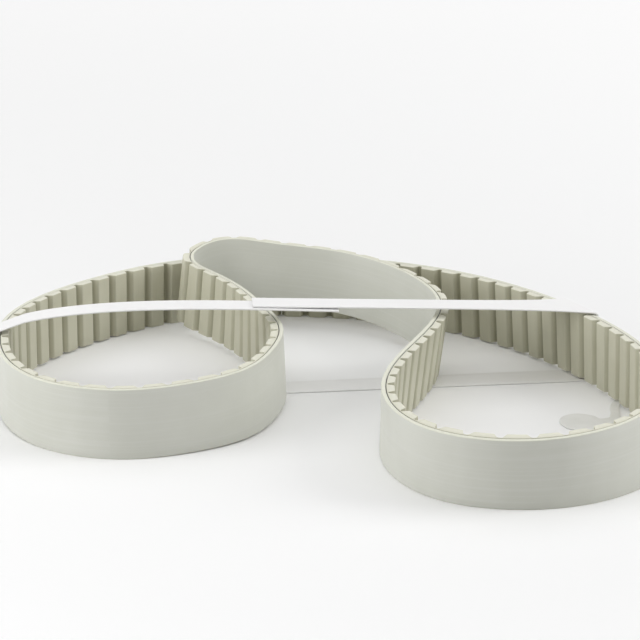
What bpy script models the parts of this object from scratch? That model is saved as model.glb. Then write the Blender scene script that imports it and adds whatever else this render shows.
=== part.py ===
"""Toothed timing belt, folded into a bundle and held by a flat strap.

The belt is one endless loop that stands on its edge: a smooth back outside, trapezoid teeth inside and
a ply of steel cords between them. The loop is folded in on itself, which gives a left lobe, a right lobe
and an inner fold between them. The strap goes over and under the bundle, and a small tag lies inside the
right lobe with its tail under the belt.

The belt flexes, so it is cut into arcs. Each lobe sways on four upright hinge lines at the corners of a
parallelogram, and the end of the lobe then moves sideways without turning.

Sizes are in millimetres until MM makes them metres.
"""
import bmesh
import bpy
import numpy as np
from math import ceil, radians, tan

MM = 0.001

# Belt section
PITCH = 10.0
TOOTH_COUNT = 112
BELT_WIDTH = 25.0
BELT_THICKNESS = 4.5
TOOTH_HEIGHT = 2.5
TOOTH_TIP = 6.2
FLANK_ANGLE = 25.0

# Layers, as depths from the route towards the teeth
BACK_FACE = -1.5
BACK_SKIN = 0.8
CORD_PLY = 0.3
LAYER_GAP = 0.3
CORD_INSET = 0.4
ROOT_FACE = BACK_FACE + BELT_THICKNESS - TOOTH_HEIGHT
TIP_FACE = BACK_FACE + BELT_THICKNESS

# The belt's route seen from above: x, y, height of the lower edge off the floor, and lean in degrees,
# which is positive where the top leans to the tooth side
ROUTE = [
    (-115.5, -4.0, 1.2, 0.0),    # left lobe, its left end on the strap
    (-90.0, -56.0, 0.0, -3.0),
    (-68.0, -63.5, 0.0, -3.0),   # left lobe, front
    (-46.0, -57.0, 0.3, -2.5),
    (-29.0, -44.0, 0.6, 0.0),
    (-18.0, -19.0, 1.0, 2.5),
    (-16.0, 11.5, 1.5, 2.0),     # left limb of the fold
    (-24.0, 38.0, 2.0, 0.5),
    (-46.6, 84.0, 2.5, -6.0),
    (-55.2, 102.0, 5.5, -6.0),   # fold's left turn
    (-46.4, 108.2, 9.0, -2.0),
    (-22.0, 107.5, 9.0, 1.0),    # fold's back, lifted off the floor
    (5.5, 100.0, 6.5, 5.0),
    (38.0, 59.5, 1.8, 8.0),      # right limb of the fold
    (39.0, 28.0, 1.2, 7.5),
    (20.2, -65.0, 0.3, 0.0),     # right lobe, its left end
    (42.0, -108.5, 0.0, -10.0),
    (64.0, -114.0, 0.0, -10.0),  # right lobe, front
    (84.1, -108.4, 0.0, -4.3),
    (115.1, -63.8, 0.3, 5.3),    # right lobe, right end
    (114.1, -29.6, 0.9, 2.0),
    (90.1, 42.7, 1.2, 3.5),      # right back wall, on the strap
    (38.2, 105.6, 0.0, 4.0),
    (3.5, 118.9, 0.0, 4.0),      # back run, behind the fold
    (-61.5, 111.0, 0.0, 2.5),
    (-84.0, 89.0, 0.4, 0.5),     # left back wall
    (-114.5, 29.0, 1.2, 0.5),
]
ROUTE_SAMPLES = 6000
# Middle of the bundle in the route's own numbers
BUNDLE_MIDDLE = (-0.5, 1.4)

# Arcs of the belt, each from one gap between teeth to another, counted along the route
ARCS = {
    "inner_fold": (12, 56),
    "right_front": (56, 61),
    "right_end": (61, 86),
    "right_back": (86, 91),
    "middle_back": (91, 94),
    "left_back": (94, 99),
    "left_end": (99, 119),
    "left_front": (7, 12),
}
CUT = 0.6
# Largest turn between two stations along the belt, and the angle from which an edge stays sharp, in degrees
SHARPEST_TURN = 12.0
SHARP_EDGE = 30.0
# The belt's direction at a place is read this far before and after it
HEADING_STEP = 0.5

# Strap: where its sides stand along the route, how much wider it spreads at the foot and head of its
# right side, where it folds over a slanting edge, and how the two ends of its top run rise
STRAP_WIDTH = 12.0
STRAP_THICKNESS = 0.6
STRAP_GAP = 0.6
STRAP_LEFT = 1113.0
STRAP_RIGHT = 787.0
STRAP_SPREAD = (1.2, 1.8)
STRAP_SPREAD_POWER = 14.0
STRAP_CORNER = 1.6
STRAP_CORNER_STEPS = 6
STRAP_RISE = 6.6
STRAP_RISE_POWERS = (0.7, 2.2)
STRAP_UPPER_RISE = 10.6
# The ends are drawn between these shares of the top run, in this many steps together
STRAP_ARCH = (0.05, 0.97)
STRAP_STEPS = 30
# The two ends lie over each other between these shares of the top run, one a little behind the other
STRAP_LAP = (0.43, 0.575)
STRAP_LAP_SHIFT = 0.75

# Tag: a flat leaf with a tail that runs under the right back wall
TAG_THICKNESS = 0.6
LEAF_CENTRE = (90.9, -26.0)
LEAF_SIZE = (15.0, 20.0)
# The leaf's outline runs between these angles, in degrees, and its tail joins in the space left
LEAF_TURN = (25.0, 345.0)
LEAF_POINTS = 28
# Middle line of the tail and its width
TAIL = [
    (95.0, -25.5, 8.0),
    (99.5, -25.0, 6.5),
    (103.0, -22.0, 4.2),
    (104.0, -16.5, 2.9),
    (104.8, -8.0, 2.9),
    (107.5, -0.5, 2.9),
    (115.5, 2.0, 2.9),
]
TAG_PIVOT = (107.5, -0.5)

COLOURS = {
    "back": (0.72, 0.72, 0.66),
    "teeth": (0.66, 0.65, 0.54),
    "cords": (0.45, 0.45, 0.44),
    "strap": (0.93, 0.93, 0.92),
    "tag": (0.85, 0.85, 0.84),
}


def closed_spline(points, samples):
    """Points of the closed cubic spline through the given points, spaced by their plan chords."""
    p = np.array(points, float)
    following = np.roll(p, -1, axis=0)
    h = np.hypot(*(following - p)[:, :2].T)
    n = len(p)
    slope = (following - p) / h[:, None]
    matrix = np.zeros((n, n))
    for i in range(n):
        before = (i - 1) % n
        after = (i + 1) % n
        matrix[i, before] += h[before]
        matrix[i, i] += 2.0 * (h[before] + h[i])
        matrix[i, after] += h[i]
    bend = np.linalg.solve(matrix, 6.0 * (slope - np.roll(slope, 1, axis=0)))
    knots = np.concatenate([[0.0], np.cumsum(h)])
    u = np.linspace(0.0, knots[-1], samples, endpoint=False)
    i = np.searchsorted(knots, u, side="right") - 1
    j = (i + 1) % n
    b = ((u - knots[i]) / h[i])[:, None]
    a = 1.0 - b
    curve = ((a ** 3 - a) * bend[i] + (b ** 3 - b) * bend[j]) * (h[i] ** 2)[:, None] / 6.0
    return a * p[i] + b * p[j] + curve


def measured_route():
    """One loop of the route, scaled to whole teeth: columns s, x, y, lift, lean, tangent x and tangent y."""
    line = closed_spline(ROUTE, ROUTE_SAMPLES)
    line[:, :2] -= BUNDLE_MIDDLE
    line[:, 2] = np.maximum(line[:, 2], 0.0)
    loop = np.vstack([line, line[:1]])
    length = np.hypot(*np.diff(loop[:, :2], axis=0).T).sum()
    loop[:, :2] *= TOOTH_COUNT * PITCH / length
    s = np.concatenate([[0.0], np.cumsum(np.hypot(*np.diff(loop[:, :2], axis=0).T))])
    ahead = np.roll(loop[:-1, :2], -1, axis=0) - np.roll(loop[:-1, :2], 1, axis=0)
    tangent = ahead / np.hypot(*ahead.T)[:, None]
    return np.column_stack([s, loop, np.vstack([tangent, tangent[:1]])])


TABLE = measured_route()


def belt_point(s, across, depth):
    """Point of the belt at s along the route, across up its width and depth towards its teeth."""
    s = np.mod(np.asarray(s, float), TOOTH_COUNT * PITCH)
    x, y, lift, lean, tx, ty = (np.interp(s, TABLE[:, 0], column) for column in TABLE[:, 1:].T)
    sin_lean = np.sin(np.radians(lean))
    cos_lean = np.cos(np.radians(lean))
    base = lift + np.maximum(BACK_FACE * sin_lean, TIP_FACE * sin_lean)
    inward = across * sin_lean + depth * cos_lean
    z = base + across * cos_lean - depth * sin_lean
    return np.stack([x - ty * inward, y + tx * inward, z], axis=-1)


def heading(s):
    """Unit vector along the belt at s, seen from above."""
    ahead = belt_point(s + HEADING_STEP, 0.0, 0.0) - belt_point(s - HEADING_STEP, 0.0, 0.0)
    ahead[2] = 0.0
    return ahead / np.linalg.norm(ahead)


def turn_between(start, end):
    """How far the belt turns between two places along the route, in degrees."""
    return np.degrees(np.arccos(min(1.0, heading(start) @ heading(end))))


def tooth_columns(first_gap, last_gap):
    """Stations along an arc and the depth of its tooth side at each.

    A tooth has two stations at its tip and two at its root, with more between them where the belt turns.
    """
    half_tip = TOOTH_TIP / 2.0
    half_root = half_tip + TOOTH_HEIGHT * tan(radians(FLANK_ANGLE))
    stations = [first_gap * PITCH + CUT / 2.0]
    depths = [ROOT_FACE]
    for tooth in range(first_gap, last_gap):
        middle = (tooth + 0.5) * PITCH
        stations += [middle - half_root, middle - half_tip, middle + half_tip, middle + half_root]
        depths += [ROOT_FACE, TIP_FACE, TIP_FACE, ROOT_FACE]
    stations.append(last_gap * PITCH - CUT / 2.0)
    depths.append(ROOT_FACE)
    fine = [stations[:1]]
    for start, end in zip(stations, stations[1:]):
        pieces = max(1, ceil(turn_between(start, end) / SHARPEST_TURN))
        fine.append(np.linspace(start, end, pieces + 1)[1:])
    fine = np.concatenate(fine)
    return fine, np.interp(fine, stations, depths)


def hinge_foot(gap):
    """Plan position of the belt's cords at half width in a gap between teeth."""
    cord_depth = BACK_FACE + BACK_SKIN + LAYER_GAP + CORD_PLY / 2.0
    return belt_point(gap * PITCH, BELT_WIDTH / 2.0, cord_depth)[:2]


def sway_corners(fold_gap, end_gap, far_gap, back_gap):
    """The four hinge lines of a lobe, with opposite sides made equal."""
    fold = hinge_foot(fold_gap)
    back = hinge_foot(back_gap)
    side = (hinge_foot(end_gap) - fold + hinge_foot(far_gap) - back) / 2.0
    return fold, fold + side, back + side, back


RIGHT_SWAY = sway_corners(*ARCS["right_front"], *ARCS["right_back"])
LEFT_SWAY = sway_corners(*reversed(ARCS["left_front"]), *reversed(ARCS["left_back"]))

# Where each moving arc turns against the arc before it; the arcs not named here don't move
HINGES = {
    "right_front": RIGHT_SWAY[0],
    "right_end": RIGHT_SWAY[1],
    "right_back": RIGHT_SWAY[2],
    "left_front": LEFT_SWAY[0],
    "left_end": LEFT_SWAY[1],
    "left_back": LEFT_SWAY[2],
}


def new_material(name, colour, roughness, metallic=0.0):
    """A Principled material."""
    material = bpy.data.materials.new(name)
    material.use_nodes = True
    shader = material.node_tree.nodes["Principled BSDF"]
    shader.inputs["Base Color"].default_value = (*colour, 1.0)
    shader.inputs["Roughness"].default_value = roughness
    shader.inputs["Metallic"].default_value = metallic
    return material


def new_bar(name, edges, origin, material, collection):
    """A box cut across at every station and bent, so that edges[station, side, face] are its corners.

    Along the bar, from side 0 to side 1 and from face 0 to face 1 are three right-handed directions.
    """
    bm = bmesh.new()
    bmesh.ops.create_cube(bm, size=1.0)
    lengthwise = [e for e in bm.edges if abs(e.verts[0].co.x - e.verts[1].co.x) > 0.5]
    bmesh.ops.subdivide_edges(bm, edges=lengthwise, cuts=len(edges) - 2, use_grid_fill=True)
    for vert in bm.verts:
        station = round((vert.co.x + 0.5) * (len(edges) - 1))
        corner = edges[station, int(vert.co.y > 0.0), int(vert.co.z > 0.0)]
        vert.co = (corner - np.append(origin, 0.0)) * MM
    mesh = bpy.data.meshes.new(name)
    bm.to_mesh(mesh)
    bm.free()
    mesh.shade_smooth()
    mesh.set_sharp_from_angle(angle=radians(SHARP_EDGE))
    mesh.materials.append(material)
    bar = bpy.data.objects.new(name, mesh)
    bar.location = (origin[0] * MM, origin[1] * MM, 0.0)
    collection.objects.link(bar)
    return bar


def layer_edges(stations, outer, inner, inset):
    """Corners of one layer of the belt along its stations, between two depths."""
    heights = (inset, BELT_WIDTH - inset)
    sides = [[belt_point(stations, height, depth) for depth in (inner, outer)] for height in heights]
    return np.moveaxis(np.array(sides), 2, 0)


def add_arc(name, materials, collection):
    """The three layers of one arc: back skin, cord ply and toothed layer."""
    stations, depths = tooth_columns(*ARCS[name])
    origin = HINGES.get(name, (0.0, 0.0))
    skin_inside = BACK_FACE + BACK_SKIN
    cord_outside = skin_inside + LAYER_GAP
    cord_inside = cord_outside + CORD_PLY
    layers = {
        "back": (BACK_FACE, skin_inside, 0.0),
        "cords": (cord_outside, cord_inside, CORD_INSET),
        "teeth": (cord_inside + LAYER_GAP, depths, 0.0),
    }
    for layer, (outer, inner, inset) in layers.items():
        edges = layer_edges(stations, outer, inner, inset)
        new_bar(f"{name}_{layer}", edges, origin, materials[layer], collection)


def strap_side(s, foot_spread, head_spread):
    """Foot and head of the strap's run beside the belt, each a place and the direction of the strap's width.

    The width lies along the belt's edge, and is as long as it has to be to go its spread to the back.
    """
    stand_off = BACK_FACE - STRAP_GAP - STRAP_THICKNESS / 2.0
    foot = belt_point(s, 0.0, stand_off)
    foot[2] = STRAP_THICKNESS / 2.0
    head = belt_point(s, BELT_WIDTH + STRAP_GAP + STRAP_THICKNESS / 2.0, stand_off)
    across = heading(s) / heading(s)[1]
    return np.concatenate([foot, across * foot_spread]), np.concatenate([head, across * head_spread])


def rounded(rows, radius, steps):
    """Rows along a path, with its inner corners rounded by parabolas that start radius before them."""
    path = [rows[0]]
    for before, corner, after in zip(rows, rows[1:], rows[2:]):
        start = corner + (before - corner) * radius / np.linalg.norm((before - corner)[:3])
        end = corner + (after - corner) * radius / np.linalg.norm((after - corner)[:3])
        for t in np.linspace(0.0, 1.0, steps):
            path.append((1.0 - t) ** 2 * start + 2.0 * t * (1.0 - t) * corner + t ** 2 * end)
    path.append(rows[-1])
    return np.array(path)


def strap_edges():
    """Corners of the strap along its length, from its lower end round the bundle to its upper end."""
    left_foot, left_head = strap_side(STRAP_LEFT, 1.0, 1.0)
    right_foot, right_head = strap_side(STRAP_RIGHT, *STRAP_SPREAD)

    def top_run(t, rise):
        turned = t ** STRAP_SPREAD_POWER
        run = left_head + (right_head - left_head) * np.column_stack([t, t, t, turned, turned, turned])
        run[:, 2] += rise
        return run

    lap_start, lap_end = STRAP_LAP
    arch_start, arch_end = STRAP_ARCH
    rise, fall = STRAP_RISE_POWERS
    peak = rise / (rise + fall)
    highest = peak ** rise * (1.0 - peak) ** fall
    t = np.linspace(lap_end, arch_start, STRAP_STEPS // 2)
    lower = top_run(t, STRAP_RISE * t ** rise * (1.0 - t) ** fall / highest)
    t = np.linspace(arch_end, lap_start, STRAP_STEPS // 2)
    upper = top_run(t, STRAP_UPPER_RISE * (1.0 - t))
    corners = np.array([lower[-1], left_head, left_foot, right_foot, right_head, upper[0]])
    rows = np.vstack([lower[:-1], rounded(corners, STRAP_CORNER, STRAP_CORNER_STEPS), upper[1:]])
    path = rows[:, :3]
    across = rows[:, 3:]
    length = np.concatenate([[0.0], np.cumsum(np.linalg.norm(np.diff(path, axis=0), axis=1))])
    path = path + across * (STRAP_LAP_SHIFT * (2.0 * length / length[-1] - 1.0))[:, None]
    outward = np.cross(np.gradient(path, axis=0), across)
    outward /= np.linalg.norm(outward, axis=1)[:, None]
    sides = [[path + across * STRAP_WIDTH * side + outward * STRAP_THICKNESS * face
              for face in (-0.5, 0.5)] for side in (-0.5, 0.5)]
    return np.moveaxis(np.array(sides), 2, 0)


def add_tag(material, collection):
    """The tag: a flat outline of a leaf that narrows into its tail, extruded."""
    turns = np.radians(np.linspace(*LEAF_TURN, LEAF_POINTS))
    leaf = np.column_stack([LEAF_CENTRE[0] + LEAF_SIZE[0] / 2.0 * np.cos(turns),
                            LEAF_CENTRE[1] + LEAF_SIZE[1] / 2.0 * np.sin(turns)])
    tail = np.array(TAIL)
    along = np.gradient(tail[:, :2], axis=0)
    normal = np.column_stack([-along[:, 1], along[:, 0]]) / np.hypot(*along.T)[:, None]
    left = tail[:, :2] + normal * tail[:, 2:] / 2.0
    right = tail[:, :2] - normal * tail[:, 2:] / 2.0
    outline = np.vstack([leaf, right[1:], left[:0:-1]]) - TAG_PIVOT
    curve = bpy.data.curves.new("tag", "CURVE")
    curve.dimensions = "2D"
    curve.fill_mode = "BOTH"
    curve.extrude = TAG_THICKNESS / 2.0 * MM
    spline = curve.splines.new("POLY")
    spline.points.add(len(outline) - 1)
    for point, (x, y) in zip(spline.points, outline):
        point.co = (x * MM, y * MM, 0.0, 1.0)
    spline.use_cyclic_u = True
    curve.materials.append(material)
    tag = bpy.data.objects.new("tag", curve)
    tag.location = (TAG_PIVOT[0] * MM, TAG_PIVOT[1] * MM, TAG_THICKNESS / 2.0 * MM)
    collection.objects.link(tag)


def main():
    """Clear the scene and build the bundle."""
    for old in list(bpy.data.objects):
        bpy.data.objects.remove(old, do_unlink=True)
    collection = bpy.data.collections.new("timing_belt")
    bpy.context.scene.collection.children.link(collection)
    materials = {
        "back": new_material("back", COLOURS["back"], 0.45),
        "teeth": new_material("teeth", COLOURS["teeth"], 0.5),
        "cords": new_material("cords", COLOURS["cords"], 0.4, 0.9),
        "strap": new_material("strap", COLOURS["strap"], 0.35),
        "tag": new_material("tag", COLOURS["tag"], 0.4),
    }
    for name in ARCS:
        add_arc(name, materials, collection)
    new_bar("strap", strap_edges(), (0.0, 0.0), materials["strap"], collection)
    add_tag(materials["tag"], collection)


main()
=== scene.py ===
"""Looks of the folded timing belt: its fine shapes, finishes, light and camera.

The belt is an endless loop on its edge, folded in on itself and held by a flat strap. The shapes follow the
same route as the solids, in millimetres until MM makes them metres.
"""
from math import pi, radians, tan

import bpy
import numpy as np
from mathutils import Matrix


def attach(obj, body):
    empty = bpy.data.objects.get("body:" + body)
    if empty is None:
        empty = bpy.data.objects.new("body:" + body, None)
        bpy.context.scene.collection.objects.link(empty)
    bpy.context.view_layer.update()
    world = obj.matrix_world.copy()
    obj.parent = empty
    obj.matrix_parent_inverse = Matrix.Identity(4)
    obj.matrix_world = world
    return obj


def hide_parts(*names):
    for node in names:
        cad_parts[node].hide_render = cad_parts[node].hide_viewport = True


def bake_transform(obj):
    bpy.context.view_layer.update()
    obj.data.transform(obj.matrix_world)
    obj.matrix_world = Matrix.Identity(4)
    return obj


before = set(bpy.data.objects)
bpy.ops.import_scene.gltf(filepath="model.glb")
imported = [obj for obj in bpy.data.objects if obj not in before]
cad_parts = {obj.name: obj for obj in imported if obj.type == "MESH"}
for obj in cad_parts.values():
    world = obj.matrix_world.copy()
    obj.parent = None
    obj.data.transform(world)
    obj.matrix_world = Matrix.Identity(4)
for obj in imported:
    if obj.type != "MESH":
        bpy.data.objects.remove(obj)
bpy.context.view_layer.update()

MM = 0.001

# Belt section, with depths from the route towards the teeth
PITCH = 10.0
TOOTH_COUNT = 112
LOOP = PITCH * TOOTH_COUNT
BELT_WIDTH = 25.0
BACK_FACE = -1.5
ROOT_FACE = 0.5
TIP_FACE = 3.0
TOOTH_TIP = 6.2
FLANK_ANGLE = 25.0
TOOTH_ROUNDING = 0.4
SKIN_INSIDE = -0.1
TEETH_OUTSIDE = 0.25
EDGE_ROUNDING = 0.3
CORD_INSET = 0.35
# The cord ply's corners are rounded by this share of its thickness, and a tooth's by at most this share of
# its depth
PLY_ROUNDING_SHARE = 0.48
TOOTH_ROUNDING_SHARE = 0.45
# The back stands this much prouder over the gaps than over the teeth where the belt is bent
FACET_DEPTH = 0.035

# The belt's route seen from above: x, y, height of the lower edge off the floor, and lean in degrees,
# which is positive where the top leans to the tooth side
ROUTE = [
    (-115.5, -4.0, 1.2, 0.0),    # left lobe, its left end on the strap
    (-90.0, -56.0, 0.0, -3.0),
    (-68.0, -63.5, 0.0, -3.0),   # left lobe, front
    (-46.0, -57.0, 0.3, -2.5),
    (-29.0, -44.0, 0.6, 0.0),
    (-18.0, -19.0, 1.0, 2.5),
    (-16.0, 11.5, 1.5, 2.0),     # left limb of the fold
    (-24.0, 38.0, 2.0, 0.5),
    (-46.6, 84.0, 2.5, -6.0),
    (-55.2, 102.0, 5.5, -6.0),   # fold's left turn
    (-46.4, 108.2, 9.0, -2.0),
    (-22.0, 107.5, 9.0, 1.0),    # fold's back, lifted off the floor
    (5.5, 100.0, 6.5, 5.0),
    (38.0, 59.5, 1.8, 8.0),      # right limb of the fold
    (39.0, 28.0, 1.2, 7.5),
    (20.2, -65.0, 0.3, 0.0),     # right lobe, its left end
    (42.0, -108.5, 0.0, -10.0),
    (64.0, -114.0, 0.0, -10.0),  # right lobe, front
    (84.1, -108.4, 0.0, -4.3),
    (115.1, -63.8, 0.3, 5.3),    # right lobe, right end
    (114.1, -29.6, 0.9, 2.0),
    (90.1, 42.7, 1.2, 3.5),      # right back wall, on the strap
    (38.2, 105.6, 0.0, 4.0),
    (3.5, 118.9, 0.0, 4.0),      # back run, behind the fold
    (-61.5, 111.0, 0.0, 2.5),
    (-84.0, 89.0, 0.4, 0.5),     # left back wall
    (-114.5, 29.0, 1.2, 0.5),
]
ROUTE_SAMPLES = 6000
BUNDLE_MIDDLE = (-0.5, 1.4)
# Half the step over which the belt's direction is taken
HEADING_STEP = 0.5

# Arcs of the belt between gaps, with the body that each one rides on
ARCS = {
    "inner_fold": (12, 56, "bundle"),
    "right_front": (56, 61, "right_front"),
    "right_end": (61, 86, "right_end"),
    "right_back": (86, 91, "right_back"),
    "middle_back": (91, 94, "bundle"),
    "left_back": (94, 99, "left_back"),
    "left_end": (99, 119, "left_end"),
    "left_front": (7, 12, "left_front"),
}
# Gaps at which two bodies meet on a hinge line; a bend piece of belt reaches this far to each side of it
BENDS = {
    "fold_right_bend": (56, "bundle", "right_front"),
    "right_front_bend": (61, "right_front", "right_end"),
    "right_back_bend": (86, "right_end", "right_back"),
    "left_back_bend": (99, "left_back", "left_end"),
    "left_front_bend": (119, "left_end", "left_front"),
    "fold_left_bend": (12, "left_front", "bundle"),
}
BEND_REACH = 10.0
# At the other gaps two arcs turn against each other: each stops this far short at its back, and slopes
# away from the other towards the teeth
SEAM_GAP = 0.025
SEAM_SLOPE = 0.06

# Stations within one pitch, from the middle of a tooth, closer together at its rounded corners
HALF_STATIONS = (0.0, 1.4, 2.4, 2.8, 3.0, 3.2, 3.5, 3.8, 4.05, 4.25, 4.45, 4.7)
SMOOTH_STATION = 1.0
FACE_ROWS = 6
CORNER_STEPS = 4
# Faces that meet at more than this many degrees keep a sharp edge
SHARP_EDGE = 50.0

# Strap: where its sides stand along the route, how much wider it spreads at the foot and head of its
# right side, where it folds over a slanting edge, and how the two ends of its top run rise
STRAP_WIDTH = 12.0
STRAP_THICKNESS = 0.6
STRAP_ROUNDING = 0.22
STRAP_GAP = 0.45
STRAP_LEFT = 1113.0
STRAP_RIGHT = 787.0
STRAP_SPREAD = (1.2, 1.8)
STRAP_SPREAD_POWER = 14.0
STRAP_CORNER = 1.2
STRAP_CORNER_STEPS = 14
STRAP_RISE = 6.6
STRAP_RISE_POWERS = (0.7, 2.2)
STRAP_UPPER_RISE = 10.6
# The ends are drawn between these shares of the top run, in this many steps together
STRAP_ARCH = (0.05, 0.97)
STRAP_STEPS = 140
# The ends lie over each other between these shares of the top run, each shifted this far to its own side
STRAP_LAP = (0.43, 0.575)
STRAP_LAP_SHIFT = 0.75

# Tag: a flat leaf that narrows into a tail
TAG_THICKNESS = 0.6
LEAF_CENTRE = (90.9, -26.0)
LEAF_SIZE = (15.0, 20.0)
# Middle line of the tail and its width
TAIL = [
    (95.0, -25.5, 8.0),
    (99.5, -25.0, 6.5),
    (103.0, -22.0, 4.2),
    (104.0, -16.5, 2.9),
    (104.8, -8.0, 2.9),
    (107.5, -0.5, 2.9),
    (115.5, 2.0, 2.9),
]
# How softly the leaf runs into its tail, the stations along the tag and points round it, and the powers that
# flatten its sections across and upwards
LEAF_BLEND = 1.2
TAG_STATIONS = 60
TAG_RING = 32
TAG_FLATNESS = (0.35, 0.5)
# Sections don't get smaller than this
SMALLEST = 0.01

# Colours of the belt's smooth back
BACK_DEEP = (0.66, 0.667, 0.595, 1.0)
BACK_PALE = (0.71, 0.716, 0.65, 1.0)
BACK_STREAK = (0.745, 0.75, 0.70, 1.0)
BACK_SCUFF = (0.62, 0.625, 0.55, 1.0)
BACK_EDGE = (0.80, 0.80, 0.68, 1.0)
# Colours of its toothed side, and where the gaps' painted shade ends, this far below the teeth's tips
# Yellower, darker than the back: partly the teeth's own tone, partly painted shade and interreflection
TEETH_DEEP = (0.595, 0.583, 0.455, 1.0)
TEETH_PALE = (0.65, 0.638, 0.51, 1.0)
TEETH_DRAWN = (0.52, 0.51, 0.395, 1.0)
# The gap colour is painted shade, darkening the gaps between the teeth
TEETH_GAP_SHADE = (0.33, 0.32, 0.225, 1.0)
TEETH_EDGE = (0.80, 0.79, 0.67, 1.0)
GAP_SHADE_END = 0.9
# The colour of the belt's cut edges fades out between these distances from them, and covers this share
EDGE_FADE = (0.1, 0.35)
EDGE_SHARE = 0.85
# Colours of the steel cords, and how fast their strands turn, in radians per millimetre along and inwards
# The valley colour is painted shade between the twisted strands
CORD_VALLEY_SHADE = (0.05, 0.05, 0.045, 1.0)
CORD_STRAND = (0.26, 0.26, 0.25, 1.0)
CORD_TARNISH = (0.10, 0.095, 0.08, 1.0)
CORD_TWIST = (5.2, 9.0)
# Colours of the strap and the tag
STRAP_DEEP = (0.93, 0.925, 0.92, 1.0)
STRAP_PALE = (0.965, 0.96, 0.955, 1.0)
STRAP_LINE = (0.89, 0.885, 0.885, 1.0)
TAG_DEEP = (0.83, 0.83, 0.80, 1.0)
TAG_PALE = (0.88, 0.88, 0.855, 1.0)

# Lamps, turned to the middle of the bundle: place and size in metres, and watts
LAMPS = {
    "left_softbox": ((-0.75, -0.33, 0.32), 0.6, 3.5),
    "right_softbox": ((1.5, -0.1, 0.8), 1.0, 11.6),
    "top_softbox": ((0.0, 0.1, 1.5), 3.0, 18.5),
}
# Strength of the white world as a light, and as it is seen
WORLD_LIGHT = 0.25
WORLD_SEEN = 0.95
# Rays that see the floor and the world as they look, rather than as they light the object
SEEING_RAYS = ("Is Camera Ray", "Is Glossy Ray", "Is Transmission Ray")
# Floor: half its side in metres, its grey as it lights and as it is seen, and the grey that is added to what
# is seen of it near by and far off, with the distances of both in metres
FLOOR_HALF = 4.0
FLOOR_LIT = 0.72
FLOOR_SEEN = 0.98
FLOOR_GLOW = (0.02, 0.42)
FLOOR_GLOW_REACH = (0.2, 1.6)

# Camera: as far off and as high as the picture was taken from
CAMERA_PLACE = (-1.2, -882.6, 271.0)
CAMERA_PITCH = 15.23
CAMERA_LENS = 143.0
CAMERA_SENSOR = 36.0
CAMERA_NEAREST = 0.01


def closed_spline(points, samples):
    """Points of the closed cubic spline through the given points, spaced by their plan chords.

    Each piece is a p + b q + ((a^3 - a) bend_p + (b^3 - b) bend_q) h^2 / 6, and the bends solve the
    cyclic equations that make the slopes meet.
    """
    p = np.array(points, float)
    n = len(p)
    following = np.roll(p, -1, axis=0)
    h = np.hypot(*(following - p)[:, :2].T)
    slope = (following - p) / h[:, None]
    before = np.roll(h, 1)
    matrix = np.diag(2.0 * (before + h))
    rows = np.arange(n)
    matrix[rows, (rows - 1) % n] += before
    matrix[rows, (rows + 1) % n] += h
    bend = np.linalg.solve(matrix, 6.0 * (slope - np.roll(slope, 1, axis=0)))
    knots = np.concatenate([[0.0], np.cumsum(h)])
    u = np.linspace(0.0, knots[-1], samples, endpoint=False)
    i = np.searchsorted(knots, u, side="right") - 1
    j = (i + 1) % n
    b = ((u - knots[i]) / h[i])[:, None]
    a = 1.0 - b
    curve = ((a ** 3 - a) * bend[i] + (b ** 3 - b) * bend[j]) * (h[i] ** 2)[:, None] / 6.0
    return a * p[i] + b * p[j] + curve


def measured_route():
    """One loop of the route, scaled to whole teeth: columns s, x, y, lift, lean, tangent x and tangent y."""
    line = closed_spline(ROUTE, ROUTE_SAMPLES)
    line[:, :2] -= BUNDLE_MIDDLE
    line[:, 2] = np.maximum(line[:, 2], 0.0)
    loop = np.vstack([line, line[:1]])
    length = np.hypot(*np.diff(loop[:, :2], axis=0).T).sum()
    loop[:, :2] *= LOOP / length
    s = np.concatenate([[0.0], np.cumsum(np.hypot(*np.diff(loop[:, :2], axis=0).T))])
    ahead = np.roll(loop[:-1, :2], -1, axis=0) - np.roll(loop[:-1, :2], 1, axis=0)
    tangent = ahead / np.hypot(*ahead.T)[:, None]
    return np.column_stack([s, loop, np.vstack([tangent, tangent[:1]])])


TABLE = measured_route()


def belt_point(s, across, depth):
    """Point of the belt at s along the route, across up its width and depth towards its teeth.

    inward = across sin(lean) + depth cos(lean) goes to the left of the route, and
    z = base + across cos(lean) - depth sin(lean), where base keeps the lowest corner at the lift.
    """
    s = np.mod(np.asarray(s, float), LOOP)
    x, y, lift, lean, tx, ty = (np.interp(s, TABLE[:, 0], column) for column in TABLE[:, 1:].T)
    sin_lean = np.sin(np.radians(lean))
    cos_lean = np.cos(np.radians(lean))
    base = lift + np.maximum(BACK_FACE * sin_lean, TIP_FACE * sin_lean)
    inward = across * sin_lean + depth * cos_lean
    z = base + across * cos_lean - depth * sin_lean
    return np.stack([x - ty * inward, y + tx * inward, z], axis=-1)


def tooth_depth(s):
    """Depth of the tooth side at s: a trapezoid with rounded corners.

    With q the distance from the tooth's middle, the flank is root + (half_root - q) / tan(flank angle);
    the soft minimum of it and the tip, and the soft maximum of that and the root, round the corners.
    """
    q = np.abs(np.mod(s, PITCH) - PITCH / 2.0)
    slope = tan(radians(FLANK_ANGLE))
    half_root = TOOTH_TIP / 2.0 + (TIP_FACE - ROOT_FACE) * slope
    flank = ROOT_FACE + (half_root - q) / slope
    capped = (flank + TIP_FACE - np.sqrt((flank - TIP_FACE) ** 2 + TOOTH_ROUNDING ** 2)) / 2.0
    return (capped + ROOT_FACE + np.sqrt((capped - ROOT_FACE) ** 2 + TOOTH_ROUNDING ** 2)) / 2.0


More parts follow.
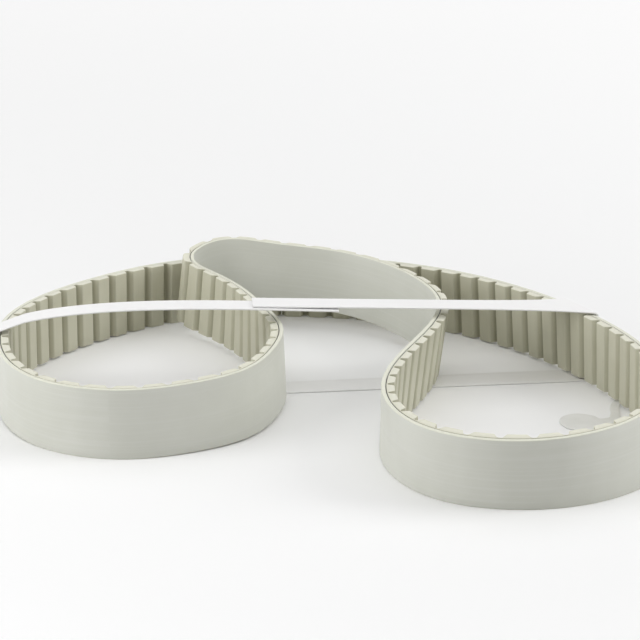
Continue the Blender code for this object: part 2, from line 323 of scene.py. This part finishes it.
def rounded_section(low, high, outer, inner, radius):
    """Heights and depths round a section at each station: a rectangle with its four corners rounded.

    The ring goes up the inner side, out along the top, down the outer side and in along the bottom. Each
    corner is a quarter circle: centre plus radius times (cos a, sin a).
    """
    inner, radius = np.broadcast_arrays(np.reshape(inner, (-1, 1)), np.reshape(radius, (-1, 1)))
    turn = np.linspace(0.0, pi / 2.0, CORNER_STEPS + 1)[None, :]
    sine = radius * np.sin(turn)
    cosine = radius * np.cos(turn)
    rise = np.linspace(0.0, 1.0, FACE_ROWS + 2)[None, 1:-1]
    bottom = low + radius
    top = high - radius
    inside = inner - radius
    outside = outer + radius
    up = bottom + (top - bottom) * rise
    still = np.zeros_like(up)
    heights = [up, top + sine, top + cosine, up[:, ::-1], bottom - sine, bottom - cosine]
    depths = [inner + still, inside + cosine, outside - sine, outer + still, outside - cosine, inside + sine]
    return np.hstack(heights), np.hstack(depths)


def closed_rings(name, points, marks):
    """A mesh from rings of points [station, place round the ring], closed round and capped at both ends.

    Neighbouring rings are joined by quads, counted as whole arrays. marks are values at the points that the
    finish reads by name.
    """
    stations, ring = points.shape[:2]
    index = np.arange(stations * ring).reshape(stations, ring)
    beside = np.roll(index, -1, axis=1)
    quads = np.stack([index[:-1], beside[:-1], beside[1:], index[1:]], axis=-1).reshape(-1, 4)
    faces = quads.tolist() + [index[0, ::-1].tolist(), index[-1].tolist()]
    mesh = bpy.data.meshes.new(name)
    mesh.from_pydata(points.reshape(-1, 3) * MM, [], faces)
    for mark, values in marks.items():
        layer = mesh.attributes.new(mark, "FLOAT", "POINT")
        layer.data.foreach_set("value", np.broadcast_to(values, (stations, ring)).astype(np.float32).ravel())
    mesh.shade_smooth()
    mesh.set_sharp_from_angle(angle=radians(SHARP_EDGE))
    piece = bpy.data.objects.new(name, mesh)
    bpy.context.scene.collection.objects.link(piece)
    return piece


def belt_layer(name, s, section, seams):
    """One layer of the belt along the stations s: a section of heights and depths, carried along the route.

    seams says of its start and its end whether it stops short there, by gap + slope (depth - back face).
    """
    heights, depths = np.broadcast_arrays(*section)
    along = np.repeat(s[:, None], heights.shape[1], axis=1)
    short = SEAM_GAP + SEAM_SLOPE * (depths - BACK_FACE)
    along[0] += seams[0] * short[0]
    along[-1] -= seams[1] * short[-1]
    points = belt_point(along, heights, depths)
    return closed_rings(name, points, {"along": along, "across": heights, "depth": depths})


def even_stations(start, end):
    """Stations about one millimetre apart."""
    return np.linspace(start, end, int(round((end - start) / SMOOTH_STATION)) + 1)


def tooth_stations(start, end):
    """Stations that crowd at the corners of every tooth between two gaps."""
    half = np.array(HALF_STATIONS)
    pitch = np.concatenate([-half[:0:-1], half]) + PITCH / 2.0
    gaps = np.arange(start, end, PITCH)
    return np.concatenate([np.column_stack([gaps, gaps[:, None] + pitch]).ravel(), [end]])


def belt_layers(name, start, end, seams):
    """The back skin, the cord ply and the row of teeth between two places along the belt.

    The back's outer face is faceted by a cosine of one pitch, which fades out towards its inner face.
    """
    s = even_stations(start, end)
    facet = FACET_DEPTH * np.cos(2.0 * pi * s / PITCH)
    thickness = SKIN_INSIDE - BACK_FACE
    heights, depths = rounded_section(0.0, BELT_WIDTH, 0.0, np.full(len(s), thickness), EDGE_ROUNDING)
    skin_depths = BACK_FACE + depths - facet[:, None] * (1.0 - depths / thickness)
    back = belt_layer(f"{name}_back_skin", s, (heights, skin_depths), seams)
    ply = rounded_section(CORD_INSET, BELT_WIDTH - CORD_INSET, SKIN_INSIDE, np.full(len(s), TEETH_OUTSIDE),
                          (TEETH_OUTSIDE - SKIN_INSIDE) * PLY_ROUNDING_SHARE)
    cords = belt_layer(f"{name}_cord_ply", s, ply, seams)
    s = tooth_stations(start, end)
    depth = tooth_depth(s)
    rounding = np.minimum(EDGE_ROUNDING, TOOTH_ROUNDING_SHARE * (depth - TEETH_OUTSIDE))
    section = rounded_section(0.0, BELT_WIDTH, TEETH_OUTSIDE, depth, rounding)
    teeth = belt_layer(f"{name}_tooth_row", s, section, seams)
    return {"back": back, "cords": cords, "teeth": teeth}


def heading(s):
    """Unit vector along the belt at s, seen from above."""
    ahead = belt_point(s + HEADING_STEP, 0.0, 0.0) - belt_point(s - HEADING_STEP, 0.0, 0.0)
    ahead[2] = 0.0
    return ahead / np.linalg.norm(ahead)


def strap_side(s, foot_spread, head_spread):
    """Foot and head of the strap's run beside the belt, each a place and the direction of the strap's width.

    The width lies along the belt's edge, and is as long as it has to be to go its spread to the back.
    """
    stand_off = BACK_FACE - STRAP_GAP - STRAP_THICKNESS / 2.0
    foot = belt_point(s, 0.0, stand_off)
    foot[2] = STRAP_THICKNESS / 2.0
    head = belt_point(s, BELT_WIDTH + STRAP_GAP + STRAP_THICKNESS / 2.0, stand_off)
    across = heading(s) / heading(s)[1]
    return np.concatenate([foot, across * foot_spread]), np.concatenate([head, across * head_spread])


def rounded_path(rows, radius, steps):
    """Rows along a path, with its inner corners rounded by parabolas that start radius before them.

    A parabola is (1 - t)^2 start + 2 t (1 - t) corner + t^2 end.
    """
    t = np.linspace(0.0, 1.0, steps)[:, None]
    path = [rows[:1]]
    for before, corner, after in zip(rows, rows[1:], rows[2:]):
        start = corner + (before - corner) * radius / np.linalg.norm((before - corner)[:3])
        end = corner + (after - corner) * radius / np.linalg.norm((after - corner)[:3])
        path.append((1.0 - t) ** 2 * start + 2.0 * t * (1.0 - t) * corner + t ** 2 * end)
    path.append(rows[-1:])
    return np.vstack(path)


def strap_path():
    """The strap's middle line, its width's direction and the length so far, from its lower to its upper end.

    The top run lies on the straight line between the two heads. The lower end is raised from it by
    t^p (1 - t)^q, scaled to its rise, and the upper end, which is taut, by its rise times 1 - t. At the
    share w of its length the strap has drifted sideways by the shift times 2 w - 1.
    """
    left_foot, left_head = strap_side(STRAP_LEFT, 1.0, 1.0)
    right_foot, right_head = strap_side(STRAP_RIGHT, *STRAP_SPREAD)

    def top_run(t, rise):
        """Rows of the top run at the shares t of its way, raised; its width turns by a power of t."""
        turned = t ** STRAP_SPREAD_POWER
        run = left_head + (right_head - left_head) * np.column_stack([t, t, t, turned, turned, turned])
        run[:, 2] += rise
        return run

    lap_start, lap_end = STRAP_LAP
    arch_start, arch_end = STRAP_ARCH
    rise, fall = STRAP_RISE_POWERS
    peak = rise / (rise + fall)
    highest = peak ** rise * (1.0 - peak) ** fall
    t = np.linspace(lap_end, arch_start, STRAP_STEPS // 2)
    lower = top_run(t, STRAP_RISE * t ** rise * (1.0 - t) ** fall / highest)
    t = np.linspace(arch_end, lap_start, STRAP_STEPS // 2)
    upper = top_run(t, STRAP_UPPER_RISE * (1.0 - t))
    corners = np.array([lower[-1], left_head, left_foot, right_foot, right_head, upper[0]])
    rows = np.vstack([lower[:-1], rounded_path(corners, STRAP_CORNER, STRAP_CORNER_STEPS), upper[1:]])
    path = rows[:, :3]
    across = rows[:, 3:]
    length = np.concatenate([[0.0], np.cumsum(np.linalg.norm(np.diff(path, axis=0), axis=1))])
    path = path + across * (STRAP_LAP_SHIFT * (2.0 * length / length[-1] - 1.0))[:, None]
    return path, across, length


def add_strap():
    """The strap: a flat section with rounded edges carried along its path.

    A point is path + width across - face outward, where outward is square to the path and to across.
    """
    path, across, length = strap_path()
    outward = np.cross(np.gradient(path, length, axis=0), across)
    outward /= np.linalg.norm(outward, axis=1)[:, None]
    half = STRAP_THICKNESS / 2.0
    widths, faces = rounded_section(-STRAP_WIDTH / 2.0, STRAP_WIDTH / 2.0, -half, np.full(len(path), half),
                                    STRAP_ROUNDING)
    points = path[:, None] + across[:, None] * widths[..., None] - outward[:, None] * faces[..., None]
    return closed_rings("strap_band", points, {"along": length[:, None], "across": widths, "depth": faces})


def smooth_line(points, knots, u):
    """Cubic Hermite curve through points at the knots, with slopes from the neighbours on both sides."""
    slope = np.gradient(points, knots, axis=0)
    i = np.clip(np.searchsorted(knots, u, side="right") - 1, 0, len(knots) - 2)
    h = (knots[i + 1] - knots[i])[:, None]
    t = (u - knots[i])[:, None] / h
    start = (2.0 * t ** 3 - 3.0 * t ** 2 + 1.0) * points[i] + (t ** 3 - 2.0 * t ** 2 + t) * h * slope[i]
    end = (3.0 * t ** 2 - 2.0 * t ** 3) * points[i + 1] + (t ** 3 - t ** 2) * h * slope[i + 1]
    return start + end


def add_tag():
    """The tag: a flat leaf that narrows into a tail, as sections carried along one middle line.

    The half width is the soft maximum of an ellipse over the leaf and of the tail's half width, and the
    thickness falls to nothing at both ends as a quarter circle. A section is a flattened ring with
    sign(cos a) |cos a|^p across and sign(sin a) |sin a|^q up.
    """
    half_long = LEAF_SIZE[0] / 2.0
    line = np.array([(LEAF_CENTRE[0] - half_long, LEAF_CENTRE[1], 0.0)] + TAIL)
    chords = np.concatenate([[0.0], np.cumsum(np.linalg.norm(np.diff(line[:, :2], axis=0), axis=1))])
    over_leaf = half_long * (1.0 - np.cos(np.linspace(0.0, pi, TAG_STATIONS)))
    over_tail = np.linspace(2.0 * half_long, chords[-1], TAG_STATIONS)[1:]
    u = np.concatenate([over_leaf, over_tail])
    rows = smooth_line(line, chords, u)
    middle = rows[:, :2]
    along = np.gradient(middle, u, axis=0)
    along /= np.linalg.norm(along, axis=1)[:, None]
    side = np.column_stack([-along[:, 1], along[:, 0]])
    leaf = LEAF_SIZE[1] / 2.0 * np.sqrt(np.clip(1.0 - (u / half_long - 1.0) ** 2, 0.0, 1.0))
    tail = rows[:, 2] / 2.0
    blend = LEAF_BLEND * np.clip(u / half_long - 1.0, 0.0, 1.0)
    half_width = (leaf + tail + np.sqrt((leaf - tail) ** 2 + blend ** 2)) / 2.0
    rim = TAG_THICKNESS / 2.0
    nearness = np.clip(np.minimum(u, chords[-1] - u) / rim, 0.0, 1.0)
    half_thick = rim * np.sqrt(1.0 - (1.0 - nearness) ** 2)
    ring = np.linspace(0.0, 2.0 * pi, TAG_RING, endpoint=False)
    flat_cos = np.sign(np.cos(ring)) * np.abs(np.cos(ring)) ** TAG_FLATNESS[0]
    flat_sin = np.sign(np.sin(ring)) * np.abs(np.sin(ring)) ** TAG_FLATNESS[1]
    wide = np.maximum(half_width, SMALLEST)[:, None] * flat_cos
    high = rim + np.maximum(half_thick, SMALLEST)[:, None] * flat_sin
    plan = middle[:, None] + side[:, None] * wide[..., None]
    points = np.dstack([plan, high])
    return closed_rings("tag_leaf", points, {"along": u[:, None], "across": wide, "depth": high})


class Shade:
    """One socket of a material, on which arithmetic adds Math nodes."""

    def __init__(self, tree, socket=None):
        self.tree = tree
        self.socket = socket

    def node(self, kind, settings, sockets, output=0):
        """Adds a node, makes its settings, fills or links its sockets and wraps one of its outputs."""
        node = self.tree.nodes.new(kind)
        for name, value in settings.items():
            setattr(node, name, value)
        for key, value in sockets.items():
            if isinstance(value, Shade):
                self.tree.links.new(value.socket, node.inputs[key])
            else:
                node.inputs[key].default_value = value
        return Shade(self.tree, node.outputs[output])

    def maths(self, operation, *values):
        """A Math node on numbers and values."""
        return self.node("ShaderNodeMath", {"operation": operation}, dict(enumerate(values)))

    def __add__(self, other):
        return self.maths("ADD", self, other)

    def __mul__(self, other):
        return self.maths("MULTIPLY", self, other)

    def __rsub__(self, other):
        return self.maths("SUBTRACT", other, self)

    __radd__ = __add__
    __rmul__ = __mul__

    def step(self, start, end):
        """0 before start and 1 after end, smooth between them."""
        return self.node("ShaderNodeMapRange", {"interpolation_type": "SMOOTHSTEP"},
                         {"Value": self, "From Min": start, "From Max": end})

    def mix(self, first, second):
        """The first colour where this value is 0 and the second where it is 1."""
        return self.node("ShaderNodeMix", {"data_type": "RGBA"}, {0: self, 6: first, 7: second}, 2)

    def cover(self, under, colour, share):
        """The colour laid over the one under it, covering this share of it where this value is 1."""
        return (self * share).mix(under, colour)

    def mark(self, name):
        """A value stored at the mesh's points."""
        return self.node("ShaderNodeAttribute", {"attribute_name": name}, {}, "Fac")

    def noise(self, vector, scale, detail=3.0, roughness=0.55):
        """Noise between 0 and 1."""
        return self.node("ShaderNodeTexNoise", {},
                         {"Vector": vector, "Scale": scale, "Detail": detail, "Roughness": roughness})

    def place(self):
        """Object coordinates, in metres."""
        return self.node("ShaderNodeTexCoord", {}, {}, "Object")

    def drawn_noise(self, along, across, detail, roughness, shift=0.0):
        """Noise drawn out over a piece, from its scales per millimetre along it and across it.

        shift takes it from another part of the noise.
        """
        vector = self.node("ShaderNodeCombineXYZ", {}, {
            "X": self.mark("along") * along,
            "Y": self.mark("across") * across,
            "Z": shift,
        })
        return self.noise(vector, 1.0, detail, roughness)

    def bump(self, height, strength, distance):
        """A normal that stands on a height between 0 and 1, over a distance in metres."""
        return self.node("ShaderNodeBump", {},
                         {"Strength": strength, "Distance": distance, "Height": height})


def new_finish(name, **constants):
    """A material, its shader's sockets by name and a Shade to start its nodes from.

    An underscore in a keyword stands for a space.
    """
    material = bpy.data.materials.new(name)
    material.use_nodes = True
    sockets = material.node_tree.nodes["Principled BSDF"].inputs
    for socket, value in constants.items():
        sockets[socket.replace("_", " ")].default_value = value
    return material, sockets, Shade(material.node_tree)


def feed(sockets, **values):
    """Links values to a shader's sockets; an underscore in a keyword stands for a space."""
    for name, value in values.items():
        value.tree.links.new(value.socket, sockets[name.replace("_", " ")])


def edge_mask(start):
    """1 on the belt's two cut edges, from how high a point lies on the belt."""
    near, far = EDGE_FADE
    across = start.mark("across")
    return across.step(BELT_WIDTH - far, BELT_WIDTH - near) + (1.0 - across.step(near, far))


def back_finish():
    """Satin cast polyurethane: soft clouding, faint streaks along the belt, a fine grain and rubbed edges."""
    material, sockets, start = new_finish("satin_back", IOR=1.48)
    place = start.place()
    cloud = start.noise(place, scale=28.0, detail=4.0)
    grain = start.noise(place, scale=2600.0, detail=2.0)
    streak = start.drawn_noise(along=0.012, across=0.9, detail=4.0, roughness=0.6)
    scuff = start.drawn_noise(along=0.22, across=0.05, detail=5.0, roughness=0.7, shift=3.0).step(0.6, 0.78)
    edge = edge_mask(start)
    body = cloud.step(0.3, 0.75).mix(BACK_DEEP, BACK_PALE)
    streaked = streak.step(0.45, 0.7).cover(body, BACK_STREAK, share=0.35)
    rubbed = scuff.cover(streaked, BACK_SCUFF, share=0.25)
    feed(sockets, Base_Color=edge.cover(rubbed, BACK_EDGE, EDGE_SHARE),
         Roughness=0.36 + streak * 0.1 + scuff * 0.08 + edge * 0.12,
         Normal=start.bump(grain * 0.6 + streak * 0.4, strength=0.25, distance=0.04 * MM))
    return material


def teeth_finish():
    """Moulded polyurethane with a fine mould grain, and painted shade darkening the gaps.

    Yellower and darker than the back: partly its own tone, partly painted shade and interreflection.
    """
    material, sockets, start = new_finish("moulded_teeth", IOR=1.48)
    place = start.place()
    cloud = start.noise(place, scale=45.0, detail=4.0)
    grain = start.noise(place, scale=2200.0, detail=2.0)
    drawn = start.drawn_noise(along=1.6, across=0.05, detail=3.0, roughness=0.6)
    # Painted shade: the gaps are darkened from the roots up
    gap = 1.0 - start.mark("depth").step(ROOT_FACE, TIP_FACE - GAP_SHADE_END)
    body = cloud.step(0.3, 0.75).mix(TEETH_DEEP, TEETH_PALE)
    drawn_body = drawn.step(0.5, 0.75).cover(body, TEETH_DRAWN, share=0.3)
    shaded = gap.cover(drawn_body, TEETH_GAP_SHADE, share=0.75)
    feed(sockets, Base_Color=edge_mask(start).cover(shaded, TEETH_EDGE, EDGE_SHARE),
         Roughness=0.4 + cloud * 0.12 + gap * 0.1,
         Normal=start.bump(grain * 0.5 + drawn * 0.5, strength=0.25, distance=0.04 * MM))
    return material


def cord_finish():
    """Dull steel strands twisted along the belt, with painted shade in the valleys between them."""
    material, sockets, start = new_finish("steel_cords", Metallic=0.7)
    along_turn, depth_turn = CORD_TWIST
    twist = start.maths("SINE", start.mark("along") * along_turn + start.mark("depth") * depth_turn)
    tarnish = start.noise(start.place(), scale=300.0)
    strand = twist.step(-0.7, 0.6)
    # Painted shade: the valleys between the strands are darkened
    bright = strand.mix(CORD_VALLEY_SHADE, CORD_STRAND)
    feed(sockets, Base_Color=tarnish.step(0.45, 0.7).cover(bright, CORD_TARNISH, share=0.5),
         Roughness=0.42 + tarnish * 0.2,
         Normal=start.bump(strand, strength=0.6, distance=0.1 * MM))
    return material


def strap_finish():
    """Glossy white strapping with fine drawing lines along it."""
    material, sockets, start = new_finish("white_strap", IOR=1.5)
    lines = start.drawn_noise(along=0.01, across=2.6, detail=4.0, roughness=0.65)
    cloud = start.noise(start.place(), scale=60.0)
    body = cloud.step(0.3, 0.8).mix(STRAP_DEEP, STRAP_PALE)
    feed(sockets, Base_Color=lines.step(0.5, 0.8).cover(body, STRAP_LINE, share=0.35),
         Roughness=0.24 + lines * 0.16,
         Normal=start.bump(lines, strength=0.3, distance=0.1 * MM))
    return material


def tag_finish():
    """Matt greyish white plastic with a fine moulded grain."""
    material, sockets, start = new_finish("tag_plastic")
    place = start.place()
    grain = start.noise(place, scale=1500.0, detail=2.0)
    cloud = start.noise(place, scale=120.0)
    feed(sockets, Base_Color=cloud.step(0.3, 0.75).mix(TAG_DEEP, TAG_PALE),
         Roughness=0.38 + cloud * 0.15,
         Normal=start.bump(grain, strength=0.3, distance=0.06 * MM))
    return material


FINISHES = {
    "back": back_finish(),
    "teeth": teeth_finish(),
    "cords": cord_finish(),
    "strap": strap_finish(),
    "tag": tag_finish(),
}


def dress(piece, slot):
    """Gives a piece the finish that is kept under the slot's name."""
    piece.data.materials.append(FINISHES[slot])


def add_belt():
    """The arcs between the bends, which ride on their bodies, and the bends, which are drawn in place on no
    body.
    """
    bent = {gap % TOOTH_COUNT for gap, *_ in BENDS.values()}
    for name, (first, last, body) in ARCS.items():
        seams = [gap % TOOTH_COUNT not in bent for gap in (first, last)]
        start = first * PITCH + (0.0 if seams[0] else BEND_REACH)
        end = last * PITCH - (0.0 if seams[1] else BEND_REACH)
        for layer, piece in belt_layers(name, start, end, seams).items():
            dress(piece, layer)
            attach(piece, body)
            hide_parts(f"{name}_{layer}")
    for name, (gap, before, after) in BENDS.items():
        start = gap * PITCH - BEND_REACH
        end = gap * PITCH + BEND_REACH
        for layer, piece in belt_layers(name, start, end, (False, False)).items():
            dress(piece, layer)
            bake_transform(piece)


add_belt()

strap = add_strap()
dress(strap, "strap")
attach(strap, "bundle")
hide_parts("strap")

tag = add_tag()
dress(tag, "tag")
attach(tag, "tag")
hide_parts("tag")


def seen_directly(start):
    """1 for what the camera sees, also in a reflection or through something clear, and 0 for other light."""
    camera, glossy, clear = (start.node("ShaderNodeLightPath", {}, {}, ray) for ray in SEEING_RAYS)
    return start.maths("MINIMUM", camera + glossy + clear, 1.0)


def grey(value):
    """A grey as a colour."""
    return (value, value, value, 1.0)


def add_floor():
    """A wide floor that is seen as white and sends back less light than it seems to.

    What is seen of it is brightened a little under the belt, and more far off, where the lamps reach less.
    """
    corners = [(x * FLOOR_HALF, y * FLOOR_HALF, 0.0) for x, y in ((-1, -1), (1, -1), (1, 1), (-1, 1))]
    mesh = bpy.data.meshes.new("floor")
    mesh.from_pydata(corners, [], [(0, 1, 2, 3)])
    material, sockets, start = new_finish("pale_floor", Roughness=0.7, Specular_IOR_Level=0.2,
                                          Emission_Strength=1.0)
    seen = seen_directly(start)
    distance = start.node("ShaderNodeVectorMath", {"operation": "LENGTH"}, {0: start.place()}, "Value")
    near, far = FLOOR_GLOW_REACH
    farness = start.node("ShaderNodeMapRange", {}, {"Value": distance, "From Min": near, "From Max": far})
    glow = farness.mix(grey(FLOOR_GLOW[0]), grey(FLOOR_GLOW[1]))
    feed(sockets, Base_Color=seen.mix(grey(FLOOR_LIT), grey(FLOOR_SEEN)),
         Emission_Color=seen.mix(grey(0.0), glow))
    mesh.materials.append(material)
    floor = bpy.data.objects.new("floor", mesh)
    bpy.context.scene.collection.objects.link(floor)


def add_lamp(name, place, size, watts):
    """A square soft lamp at a place, tilted from straight down and turned so that it faces the bundle."""
    data = bpy.data.lights.new(name, "AREA")
    data.size = size
    data.energy = watts
    lamp = bpy.data.objects.new(name, data)
    lamp.location = place
    x, y, z = place
    lamp.rotation_euler = (np.arctan2(np.hypot(x, y), z), 0.0, np.arctan2(x, -y))
    bpy.context.scene.collection.objects.link(lamp)


def add_light():
    """Soft lamps at both sides and above, and a pale world that the camera sees as white."""
    for name, (place, size, watts) in LAMPS.items():
        add_lamp(name, place, size, watts)
    world = bpy.data.worlds.new("studio")
    world.use_nodes = True
    sockets = world.node_tree.nodes["Background"].inputs
    sockets["Color"].default_value = grey(1.0)
    seen = seen_directly(Shade(world.node_tree))
    feed(sockets, Strength=seen * (WORLD_SEEN - WORLD_LIGHT) + WORLD_LIGHT)
    bpy.context.scene.world = world


def add_camera():
    """The camera at the picture's place and angle."""
    data = bpy.data.cameras.new("camera")
    data.lens = CAMERA_LENS
    data.sensor_width = CAMERA_SENSOR
    data.sensor_fit = "HORIZONTAL"
    data.clip_start = CAMERA_NEAREST
    camera = bpy.data.objects.new("camera", data)
    camera.location = np.array(CAMERA_PLACE) * MM
    camera.rotation_euler = (radians(90.0 - CAMERA_PITCH), 0.0, 0.0)
    bpy.context.scene.collection.objects.link(camera)
    bpy.context.scene.camera = camera


add_floor()
add_light()
add_camera()
bpy.context.scene.view_settings.view_transform = "Standard"
